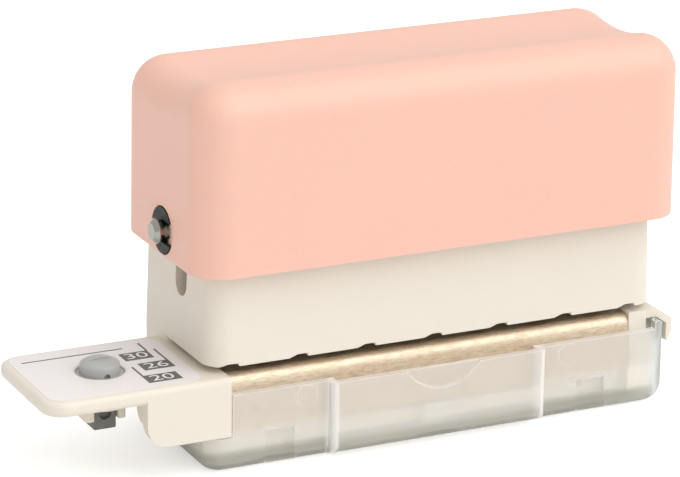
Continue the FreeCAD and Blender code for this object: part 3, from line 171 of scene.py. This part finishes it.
# %% Lay the floor
FLOOR_REACH = 12.0
FLOOR_DROP = 0.02 * MM
FLOOR_COLOUR = (0.93, 0.93, 0.93, 1)
FLOOR_GLOW = 0.42

sheet = bmesh.new()
bmesh.ops.create_grid(sheet, x_segments=1, y_segments=1, size=FLOOR_REACH)
mesh = bpy.data.meshes.new("floor")
sheet.to_mesh(mesh)
sheet.free()
floor = bpy.data.objects.new("floor", mesh)
floor.location.z = -FLOOR_DROP
bpy.context.scene.collection.objects.link(floor)

board = bpy.data.materials.new("white_board")
board.use_nodes = True
nodes = board.node_tree.nodes
links = board.node_tree.links
nodes.clear()
paper = nodes.new("ShaderNodeBsdfDiffuse")
paper.inputs["Color"].default_value = FLOOR_COLOUR
glow = nodes.new("ShaderNodeEmission")
glow.inputs["Strength"].default_value = FLOOR_GLOW
dark = nodes.new("ShaderNodeEmission")
dark.inputs["Strength"].default_value = 0.0
shown = nodes.new("ShaderNodeMixShader")
links.new(seen_directly(nodes, links), shown.inputs[0])
links.new(dark.outputs[0], shown.inputs[1])
links.new(glow.outputs[0], shown.inputs[2])
both = nodes.new("ShaderNodeAddShader")
links.new(paper.outputs[0], both.inputs[0])
links.new(shown.outputs[0], both.inputs[1])
links.new(both.outputs[0], nodes.new("ShaderNodeOutputMaterial").inputs[0])
floor.data.materials.append(board)
print("floor reaches", FLOOR_REACH, "m")

# %% [markdown]
# ## How a finish is made
#
# No moulded or rolled surface is one flat colour. Each finish here is a Principled shader with a
# few patterns laid over it, made of noise in the object's own coordinates, so that nothing is
# painted by hand: one that tints the colour, one that makes the gloss uneven, and one or two that
# raise the surface by a few micrometres. A mask is a pattern too: it is 1 in one place, such as
# along the edges, and 0 in the rest.

# %% Helpers for the finishes
class Finish:
    """A material with one Principled shader, and the patterns laid over it."""

    def __init__(self, name, colour, roughness, metal=0.0):
        self.material = bpy.data.materials.new(name)
        self.material.use_nodes = True
        self.tree = self.material.node_tree
        self.shader = self.tree.nodes["Principled BSDF"]
        self.shader.inputs["Base Color"].default_value = (*colour, 1)
        self.shader.inputs["Roughness"].default_value = roughness
        self.shader.inputs["Metallic"].default_value = metal

    def noise(self, size, detail=3.0, stretch=(1, 1, 1)):
        """A noise pattern with features of that size, in metres, drawn out along the axes."""
        place = self.tree.nodes.new("ShaderNodeTexCoord")
        scale = self.tree.nodes.new("ShaderNodeMapping")
        scale.inputs["Scale"].default_value = [1 / (size * s) for s in stretch]
        pattern = self.tree.nodes.new("ShaderNodeTexNoise")
        pattern.inputs["Scale"].default_value = 1.0
        pattern.inputs["Detail"].default_value = detail
        self.tree.links.new(place.outputs["Object"], scale.inputs["Vector"])
        self.tree.links.new(scale.outputs["Vector"], pattern.inputs["Vector"])
        return pattern.outputs["Fac"]

    def spread(self, pattern, low, high, start=0.3, end=0.7):
        """The pattern's values from start to end, drawn out from low to high."""
        span = self.tree.nodes.new("ShaderNodeMapRange")
        span.inputs["From Min"].default_value = start
        span.inputs["From Max"].default_value = end
        span.inputs["To Min"].default_value = low
        span.inputs["To Max"].default_value = high
        self.tree.links.new(pattern, span.inputs["Value"])
        return span.outputs["Result"]

    def tint(self, pattern, colour, amount=1.0, start=0.3, end=0.7):
        """The base colour drifts towards another colour where the pattern is high."""
        blend = self.tree.nodes.new("ShaderNodeMix")
        blend.data_type = "RGBA"
        base = self.shader.inputs["Base Color"]
        if base.is_linked:
            self.tree.links.new(base.links[0].from_socket, blend.inputs["A"])
        else:
            blend.inputs["A"].default_value = base.default_value
        blend.inputs["B"].default_value = (*colour, 1)
        self.tree.links.new(self.spread(pattern, 0, amount, start, end), blend.inputs["Factor"])
        self.tree.links.new(blend.outputs["Result"], base)
        return self

    def gloss(self, pattern, low, high):
        """Roughness that wanders from low to high."""
        self.tree.links.new(self.spread(pattern, low, high), self.shader.inputs["Roughness"])
        return self

    def relief(self, pattern, height):
        """Bumps of that height, in metres, on top of what is there."""
        bump = self.tree.nodes.new("ShaderNodeBump")
        bump.inputs["Distance"].default_value = height
        normal = self.shader.inputs["Normal"]
        if normal.is_linked:
            self.tree.links.new(normal.links[0].from_socket, bump.inputs["Normal"])
        self.tree.links.new(pattern, bump.inputs["Height"])
        self.tree.links.new(bump.outputs["Normal"], normal)
        return self

    def edge_mask(self, reach):
        """1 along the edges of the piece, over that reach in metres, and 0 on its open faces."""
        rounded = self.tree.nodes.new("ShaderNodeBevel")
        rounded.samples = 8
        rounded.inputs["Radius"].default_value = reach
        plain = self.tree.nodes.new("ShaderNodeNewGeometry")
        across = self.tree.nodes.new("ShaderNodeVectorMath")
        across.operation = "DOT_PRODUCT"
        self.tree.links.new(rounded.outputs["Normal"], across.inputs[0])
        self.tree.links.new(plain.outputs["True Normal"], across.inputs[1])
        return self.spread(across.outputs["Value"], 1.0, 0.0, 0.80, 0.98)

    def along(self, axis):
        """The object's own coordinate along that axis, in metres."""
        place = self.tree.nodes.new("ShaderNodeTexCoord")
        split = self.tree.nodes.new("ShaderNodeSeparateXYZ")
        self.tree.links.new(place.outputs["Object"], split.inputs["Vector"])
        return split.outputs[axis]

    def reach_mask(self, axis, start, end):
        """0 where that coordinate is at the start, 1 at the end and beyond, in metres."""
        return self.spread(self.along(axis), 0.0, 1.0, start, end)

    def band_mask(self, axis, middle, reach):
        """1 where that coordinate is near the middle, 0 beyond the reach on both sides."""
        away = self.tree.nodes.new("ShaderNodeMath")
        away.operation = "SUBTRACT"
        away.inputs[1].default_value = middle
        self.tree.links.new(self.along(axis), away.inputs[0])
        size = self.tree.nodes.new("ShaderNodeMath")
        size.operation = "ABSOLUTE"
        self.tree.links.new(away.outputs[0], size.inputs[0])
        return self.spread(size.outputs[0], 1.0, 0.0, reach * 0.55, reach)

    def joined(self, first, second, operation):
        """Two masks as one: MAXIMUM where either holds, MINIMUM where both do."""
        mask = self.tree.nodes.new("ShaderNodeMath")
        mask.operation = operation
        self.tree.links.new(first, mask.inputs[0])
        self.tree.links.new(second, mask.inputs[1])
        return mask.outputs[0]

    def clarity(self, mask, open_share, masked_share):
        """How clear the plastic is on its open faces, and where the mask is 1."""
        clear_share = self.spread(mask, open_share, masked_share, 0.0, 1.0)
        self.tree.links.new(clear_share, self.shader.inputs["Transmission Weight"])
        return self

    def lets_lamps_through(self, share):
        """Light from the lamps and the sky passes as through clear air, by that share."""
        path = self.tree.nodes.new("ShaderNodeLightPath")
        part = self.tree.nodes.new("ShaderNodeMath")
        part.operation = "MULTIPLY"
        part.inputs[1].default_value = share
        self.tree.links.new(path.outputs["Is Shadow Ray"], part.inputs[0])
        air = self.tree.nodes.new("ShaderNodeBsdfTransparent")
        mixed = self.tree.nodes.new("ShaderNodeMixShader")
        self.tree.links.new(part.outputs[0], mixed.inputs[0])
        self.tree.links.new(self.shader.outputs[0], mixed.inputs[1])
        self.tree.links.new(air.outputs[0], mixed.inputs[2])
        surface = self.tree.nodes["Material Output"].inputs["Surface"]
        self.tree.links.new(mixed.outputs[0], surface)
        return self


# %% [markdown]
# ## Moulded plastics
#
# The cap is a satin pink ABS, the housing and the base a cream one. A mould leaves a very fine
# spark-eroded grain, a slow drift in colour where the plastic flowed, and a gloss that isn't quite
# even. Salmon pink and cream are both a little translucent, so some light wanders under the
# surface and softens the shadows.

# %% Mix the pink and the cream
pink = Finish("pink_plastic", (0.93, 0.555, 0.445), 0.36)
pink.tint(pink.noise(14 * MM, 2), (0.90, 0.535, 0.43), 0.5)
pink.tint(pink.noise(0.35 * MM, 2), (0.95, 0.60, 0.50), 0.25)
pink.gloss(pink.noise(3 * MM, 4), 0.33, 0.41)
pink.relief(pink.noise(0.12 * MM, 2), 1.2e-6)

cream = Finish("cream_plastic", (0.84, 0.785, 0.685), 0.42)
cream.tint(cream.noise(11 * MM, 2), (0.82, 0.765, 0.665), 0.5)
cream.tint(cream.noise(0.4 * MM, 2), (0.865, 0.81, 0.715), 0.3)
cream.gloss(cream.noise(2.5 * MM, 4), 0.38, 0.48)
cream.relief(cream.noise(0.12 * MM, 2), 1.5e-6)

for finish, depth in ((pink, 0.4 * MM), (cream, 0.6 * MM)):
    finish.shader.inputs["Subsurface Weight"].default_value = 0.12
    finish.shader.inputs["Subsurface Radius"].default_value = (1.0, 0.5, 0.3)
    finish.shader.inputs["Subsurface Scale"].default_value = depth
print("plastics mixed")

# %% [markdown]
# ## The frosted tray
#
# The tray is clear polypropylene. It isn't glass: the plastic scatters light inside, so what lies
# behind it blurs and pales with its distance from the wall. A rough transmission shader shows
# that, mixed with a milky surface for the light that never gets through. The wall is paler and
# less clear along its edges and at the two ends of the bay, a painted highlight for the bright
# lines that refraction draws there. It is a little darker in front of the die plate, painted
# shade, and grey-green at the right end, painted shade where the shade under the hook shows
# through. Low down, where the floor is, it is grey-green: painted floor shadow on top of the grey
# of thick plastic.

# %% Mix the clear plastic
FLOOR_SHADOW_AND_THICK_GREY = (0.70, 0.69, 0.63)
END_PAINTED_SHADE = (0.80, 0.825, 0.80)
EDGE_PAINTED_HIGHLIGHT = (0.96, 0.95, 0.93)
BAY_ENDS = (-14.75 * MM, 15.25 * MM)
CLEAR_SHARE = 0.70
EDGE_HIGHLIGHT_CLEAR_SHARE = 0.30

clear = Finish("clear_plastic", (0.965, 0.95, 0.92), 0.34)
clear.shader.inputs["IOR"].default_value = 1.25
clear.tint(clear.noise(6 * MM, 3), (0.95, 0.935, 0.905), 0.5)
# Painted shade: the wall is a little darker above 5.5 mm, in front of the die plate.
clear.tint(clear.reach_mask("Z", 5.5 * MM, 6.2 * MM), (0.885, 0.87, 0.84), 1.0, 0.0, 1.0)
# Painted floor shadow together with the grey of the thick plastic: grey-green below 3.1 mm.
clear.tint(clear.reach_mask("Z", 3.1 * MM, 2.3 * MM), FLOOR_SHADOW_AND_THICK_GREY, 1.0, 0.0, 1.0)
# Painted shade: grey-green at the right end, where the shade under the hook shows through.
clear.tint(clear.reach_mask("X", 32.3 * MM, 33.0 * MM), END_PAINTED_SHADE, 1.0, 0.0, 1.0)
# Painted highlight: paler, less clear wall along the edges and bay ends, for refraction's lines.
edges = clear.edge_mask(0.45 * MM)
front_wall = clear.reach_mask("Y", -7.0 * MM, -7.5 * MM)
for bay_end in BAY_ENDS:
    highlight_band = clear.joined(clear.band_mask("X", bay_end, 0.62 * MM), front_wall, "MINIMUM")
    edges = clear.joined(edges, highlight_band, "MAXIMUM")
clear.tint(edges, EDGE_PAINTED_HIGHLIGHT, 1.0, 0.0, 1.0)
clear.clarity(edges, CLEAR_SHARE, EDGE_HIGHLIGHT_CLEAR_SHARE)
clear.gloss(clear.noise(1.2 * MM, 4), 0.30, 0.37)
clear.lets_lamps_through(0.75)
print("clear plastic has", len(clear.tree.nodes), "nodes")

# %% [markdown]
# ## Metals
#
# The die plate is rolled steel with a yellow zinc coat: its gold is uneven, it has fine rolling
# lines along the row, and small dull specks. The punches and the shaft are ground steel, the
# plates, screws and springs plain zinc, and the retaining rings black oxide.

# %% Mix the metals
yellow = Finish("yellow_steel", (0.77, 0.62, 0.44), 0.52, 1.0)
yellow.tint(yellow.noise(5 * MM, 4, (4, 1, 1)), (0.82, 0.70, 0.55), 0.9)
yellow.tint(yellow.noise(0.5 * MM, 5), (0.60, 0.45, 0.28), 0.8, 0.58, 0.75)
yellow.tint(yellow.noise(0.09 * MM, 3, (14, 1, 1)), (0.88, 0.79, 0.65), 0.7)
yellow.tint(yellow.noise(0.16 * MM, 3, (7, 1, 1)), (0.63, 0.475, 0.32), 0.8, 0.45, 0.7)
yellow.gloss(yellow.noise(0.6 * MM, 5, (3, 1, 1)), 0.44, 0.60)
yellow.relief(yellow.noise(0.10 * MM, 2, (20, 1, 1)), 1.5e-6)
yellow.relief(yellow.noise(0.22 * MM, 3), 4.0e-6)


def metal(name, colour, roughness, grain, stretch):
    """A bare or plated metal whose fine lines run along its long axis."""
    finish = Finish(name, colour, roughness, 1.0)
    darker = [c * 0.82 for c in colour]
    finish.tint(finish.noise(2 * MM, 4), darker, 0.6)
    finish.gloss(finish.noise(grain * 3, 4, stretch), roughness * 0.75, roughness * 1.3)
    finish.relief(finish.noise(grain, 2, stretch), 0.8e-6)
    return finish


bright = metal("bright_steel", (0.74, 0.73, 0.70), 0.20, 0.08 * MM, (1, 1, 12))
shaft = metal("shaft_steel", (0.44, 0.44, 0.395), 0.20, 0.08 * MM, (12, 1, 1))
plated = metal("plated_steel", (0.66, 0.66, 0.65), 0.34, 0.12 * MM, (15, 1, 1))
spring = metal("spring_steel", (0.58, 0.58, 0.57), 0.26, 0.10 * MM, (1, 1, 1))
screw = metal("screw_steel", (0.60, 0.60, 0.58), 0.30, 0.10 * MM, (1, 1, 1))
black = Finish("black_steel", (0.018, 0.020, 0.020), 0.48, 0.0)
black.shader.inputs["Specular IOR Level"].default_value = 0.28
black.tint(black.noise(0.6 * MM, 4), (0.034, 0.037, 0.036), 0.7)
black.gloss(black.noise(0.8 * MM, 4), 0.42, 0.55)
black.relief(black.noise(0.15 * MM, 3), 1.5e-6)
print("metals mixed")

# %% [markdown]
# ## Stud, carrier and label
#
# The locating stud is grey acetal. Its foot is more matt and given a darker grey, painted shade
# for the shade under the arm where it sits. The punch carrier is a matt moulding given a warm,
# light tan, painted light for the glow that comes through the housing's cream walls. The label is
# a printed film with a faint warm tint and a soft gloss.

# %% Mix the greys and the label's film
grey = Finish("stud_plastic", (0.445, 0.455, 0.45), 0.36)
grey.tint(grey.noise(1.5 * MM, 3), (0.48, 0.49, 0.485), 0.6)
grey.gloss(grey.noise(0.8 * MM, 4), 0.30, 0.44)
grey.relief(grey.noise(0.12 * MM, 2), 1.5e-6)

# Painted shade: the foot's darker grey is the stud's grey as it looks in the shade under the arm.
foot_painted_shade_grey = Finish("dark_plastic", (0.155, 0.158, 0.145), 0.45)
foot_painted_shade_grey.tint(foot_painted_shade_grey.noise(1.0 * MM, 3), (0.20, 0.20, 0.185), 0.6)
foot_painted_shade_grey.gloss(foot_painted_shade_grey.noise(0.6 * MM, 4), 0.38, 0.55)
foot_painted_shade_grey.relief(foot_painted_shade_grey.noise(0.12 * MM, 2), 2.0e-6)

# Painted light: the carrier's warm, light tan stands for the glow through the housing's cream
# walls.
carrier = Finish("grey_plastic", (0.60, 0.48, 0.355), 0.5)
carrier.tint(carrier.noise(4 * MM, 3), (0.64, 0.52, 0.39), 0.6)
carrier.gloss(carrier.noise(1.5 * MM, 4), 0.42, 0.58)
carrier.relief(carrier.noise(0.15 * MM, 2), 2.0e-6)

film = Finish("label_film", (0.89, 0.855, 0.85), 0.34)
film.tint(film.noise(5 * MM, 3), (0.915, 0.88, 0.87), 0.5)
film.gloss(film.noise(1.0 * MM, 4), 0.28, 0.42)
film.relief(film.noise(0.4 * MM, 2), 1.0e-6)

ink = Finish("label_ink", (0.105, 0.105, 0.095), 0.42)
ink.tint(ink.noise(0.3 * MM, 3), (0.16, 0.16, 0.145), 0.7)
ink.gloss(ink.noise(0.3 * MM, 3), 0.36, 0.5)
print("greys, film and ink mixed")

# %% [markdown]
# ## Dress the solids
#
# A solid whose shape is right only needs its finish in its material slots.

# %% Give each solid its finish
FINISHES = {
    "press_cap": pink,
    "drive_axle": shaft,
    "axle_clips": black,
    "punch_carrier": carrier,
    "punch_retainer": plated,
    "retainer_screws": screw,
    "return_spring_left": spring,
    "return_spring_right": spring,
    "spring_posts": bright,
    "guide_plate": plated,
    "housing": cream,
    "housing_screws": screw,
    "die_plate": yellow,
    "die_screws": screw,
    "base": cream,
    "gauge_label": film,
    "locating_stud": grey,
    "stud_foot": foot_painted_shade_grey,
    "stud_spring": spring,
    "chip_tray": clear,
}
for number in range(1, 7):
    FINISHES[f"punch_{number}"] = bright

for name, finish in FINISHES.items():
    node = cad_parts[name]
    if node.material_slots:
        for slot in node.material_slots:
            slot.material = finish.material
    else:
        node.data.materials.append(finish.material)
print("dressed", len(FINISHES), "solids")


# %% [markdown]
# ## Helpers for new pieces
#
# Each new piece is shaped as a bmesh and becomes one object at the origin, with its place in its
# mesh. It rides on the CAD body that carries it.

# %% Turn a bmesh into a piece
def piece(name, shape, finish, body, smooth=35):
    """The finished bmesh as an object that rides on that body."""
    mesh = bpy.data.meshes.new(name)
    shape.to_mesh(mesh)
    shape.free()
    mesh.materials.append(finish.material)
    for face in mesh.polygons:
        face.use_smooth = True
    mesh.set_sharp_from_angle(angle=math.radians(smooth))
    thing = bpy.data.objects.new(name, mesh)
    bpy.context.scene.collection.objects.link(thing)
    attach(thing, body)
    print(name, "has", len(mesh.polygons), "faces")
    return thing


# %% [markdown]
# ## Coil springs
#
# The CAD model holds each spring as the sleeve that its turns fill. The real ones are wound from
# round wire: a closed turn at each end, ground flat, and open turns between. A spin that also
# climbs draws exactly that. The stud's spring is a cone, so that its turns sink into one another,
# and there each step of the spin also draws the wire in towards the middle.

# %% Wind the springs
WIRE_SIDES = 10
STEPS_PER_TURN = 24
CLOSED_PITCH = 1.02


def coil(outer, wire, low, high, open_turns, x, y, drawn_in=0.0):
    """A spring with ground ends, wound from a ring of wire that spins and climbs."""
    shape = bmesh.new()
    reach = outer / 2 - wire / 2
    all_steps = round(STEPS_PER_TURN * (open_turns + 2))
    turned = 0.0
    start = Matrix.Translation((reach, 0, 0)) @ Matrix.Rotation(math.pi / 2, 4, "X")
    ring = bmesh.ops.create_circle(shape, segments=WIRE_SIDES, radius=wire / 2, matrix=start)
    last = ring["verts"] + list({e for v in ring["verts"] for e in v.link_edges})
    closed = wire * CLOSED_PITCH
    climb = high - low - 2 * closed
    for turns, rise in ((1, closed), (open_turns, climb), (1, closed)):
        steps = round(STEPS_PER_TURN * turns)
        for _ in range(steps):
            last = bmesh.ops.spin(
                shape, geom=last, cent=(0, 0, 0), axis=(0, 0, 1), dvec=(0, 0, rise / steps),
                angle=2 * math.pi / STEPS_PER_TURN, steps=1, use_merge=False)["geom_last"]
            turned += 2 * math.pi / STEPS_PER_TURN
            inward = Vector((-math.cos(turned), -math.sin(turned), 0)) * drawn_in / all_steps
            ring = [v for v in last if isinstance(v, bmesh.types.BMVert)]
            bmesh.ops.translate(shape, verts=ring, vec=inward)
    ends = [e for e in shape.edges if e.is_boundary]
    bmesh.ops.holes_fill(shape, edges=ends, sides=WIRE_SIDES)
    for height, side in ((0.0, -1), (high - low, 1)):
        cut = bmesh.ops.bisect_plane(
            shape, geom=shape.verts[:] + shape.edges[:] + shape.faces[:],
            plane_co=(0, 0, height), plane_no=(0, 0, side), clear_outer=True)
        rim = [e for e in cut["geom_cut"] if isinstance(e, bmesh.types.BMEdge)]
        bmesh.ops.triangle_fill(shape, edges=rim, use_beauty=True)
    bmesh.ops.recalc_face_normals(shape, faces=shape.faces)
    bmesh.ops.translate(shape, verts=shape.verts, vec=(x, y, low))
    return shape


def wound(node, wire, open_turns, drawn_in=0.0):
    """The coil that stands for a spring's sleeve, riding on the stand."""
    low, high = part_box(node)
    x, y = (low[0] + high[0]) / 2, (low[1] + high[1]) / 2
    shape = coil(high[0] - low[0], wire, low[2], high[2], open_turns, x, y, drawn_in)
    thing = piece(f"{node}_coil", shape, spring, "stand", smooth=60)
    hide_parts(node)
    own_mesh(thing)
    return thing


for side in ("left", "right"):
    wound(f"return_spring_{side}", 0.6 * MM, 10)
wound("stud_spring", 0.3 * MM, 1.0, drawn_in=1.0 * MM)

# %% [markdown]
# ## The print on the label
#
# Three page sizes are marked: a short stroke where the page's edge comes, and a dark box beside it
# with a figure in the label's own colour. A longer stroke shows where the page's upper edge lies.
# Ink is a few hundredths of a millimetre thick, so each mark is a very thin solid.

# %% Print the marks
label_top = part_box("gauge_label")[1][2]
INK = 0.012 * MM
STROKE = 0.28 * MM
MARKS = (
    # Figure, box from left to right and from front to back, then the stroke's X and its two ends
    ("30", (-38.50, -34.60, 1.75, 4.45), (-34.62, 4.45, 7.30)),
    ("26", (-37.55, -33.40, -2.25, 0.35), (-33.54, 0.35, 4.55)),
    ("20", (-38.75, -34.20, -6.55, -3.95), (-38.61, -3.95, -0.50)),
)


def slab(shape, left, right, front, back, low, high):
    """A thin box between those limits."""
    size = Vector((right - left, back - front, high - low))
    centre = Vector((left + right, front + back, low + high)) / 2
    bmesh.ops.create_cube(shape, size=1, matrix=Matrix.Translation(centre) @ Matrix.Diagonal(
        (*size, 1)))


marks = bmesh.new()
slab(marks, -50.8 * MM, -37.2 * MM, 6.1 * MM, 6.1 * MM + STROKE, label_top, label_top + INK)
for figure, (left, right_end, front, back_end), (x, low, high) in MARKS:
    slab(marks, left * MM, right_end * MM, front * MM, back_end * MM, label_top, label_top + INK)
    slab(marks, x * MM - STROKE / 2, x * MM + STROKE / 2, low * MM, high * MM,
         label_top, label_top + INK)
piece("gauge_marks", marks, ink, "stand")

# %% Print the figures
FIGURE_SIZE = 2.6 * MM
FIGURE_STRETCH = 1.25
CURVE_STEPS = 4

for figure, (left, right_end, front, back_end), _ in MARKS:
    words = bpy.data.curves.new(f"figure_{figure}", "FONT")
    words.body = figure
    words.align_x = "CENTER"
    words.align_y = "CENTER"
    words.size = FIGURE_SIZE
    words.extrude = INK / 2
    words.resolution_u = CURVE_STEPS
    written = bpy.data.objects.new(f"figure_{figure}", words)
    bpy.context.scene.collection.objects.link(written)
    bpy.context.view_layer.update()
    shape = bmesh.new()
    shape.from_mesh(bpy.data.meshes.new_from_object(written))
    bpy.data.objects.remove(written)
    bmesh.ops.remove_doubles(shape, verts=shape.verts, dist=1e-7)
    bmesh.ops.scale(shape, verts=shape.verts, vec=(FIGURE_STRETCH, 1.0, 1.0))
    centre = ((left + right_end) / 2 * MM, (front + back_end) / 2 * MM, label_top + INK * 1.5)
    bmesh.ops.translate(shape, verts=shape.verts, vec=centre)
    piece(f"figure_{figure}", shape, film, "stand")

# %% [markdown]
# ## The view transform
#
# The picture is shown with the Standard view transform. The dressed model may not
# outgrow the CAD model.

# %% Set the view transform
bpy.context.scene.view_settings.view_transform = "Standard"
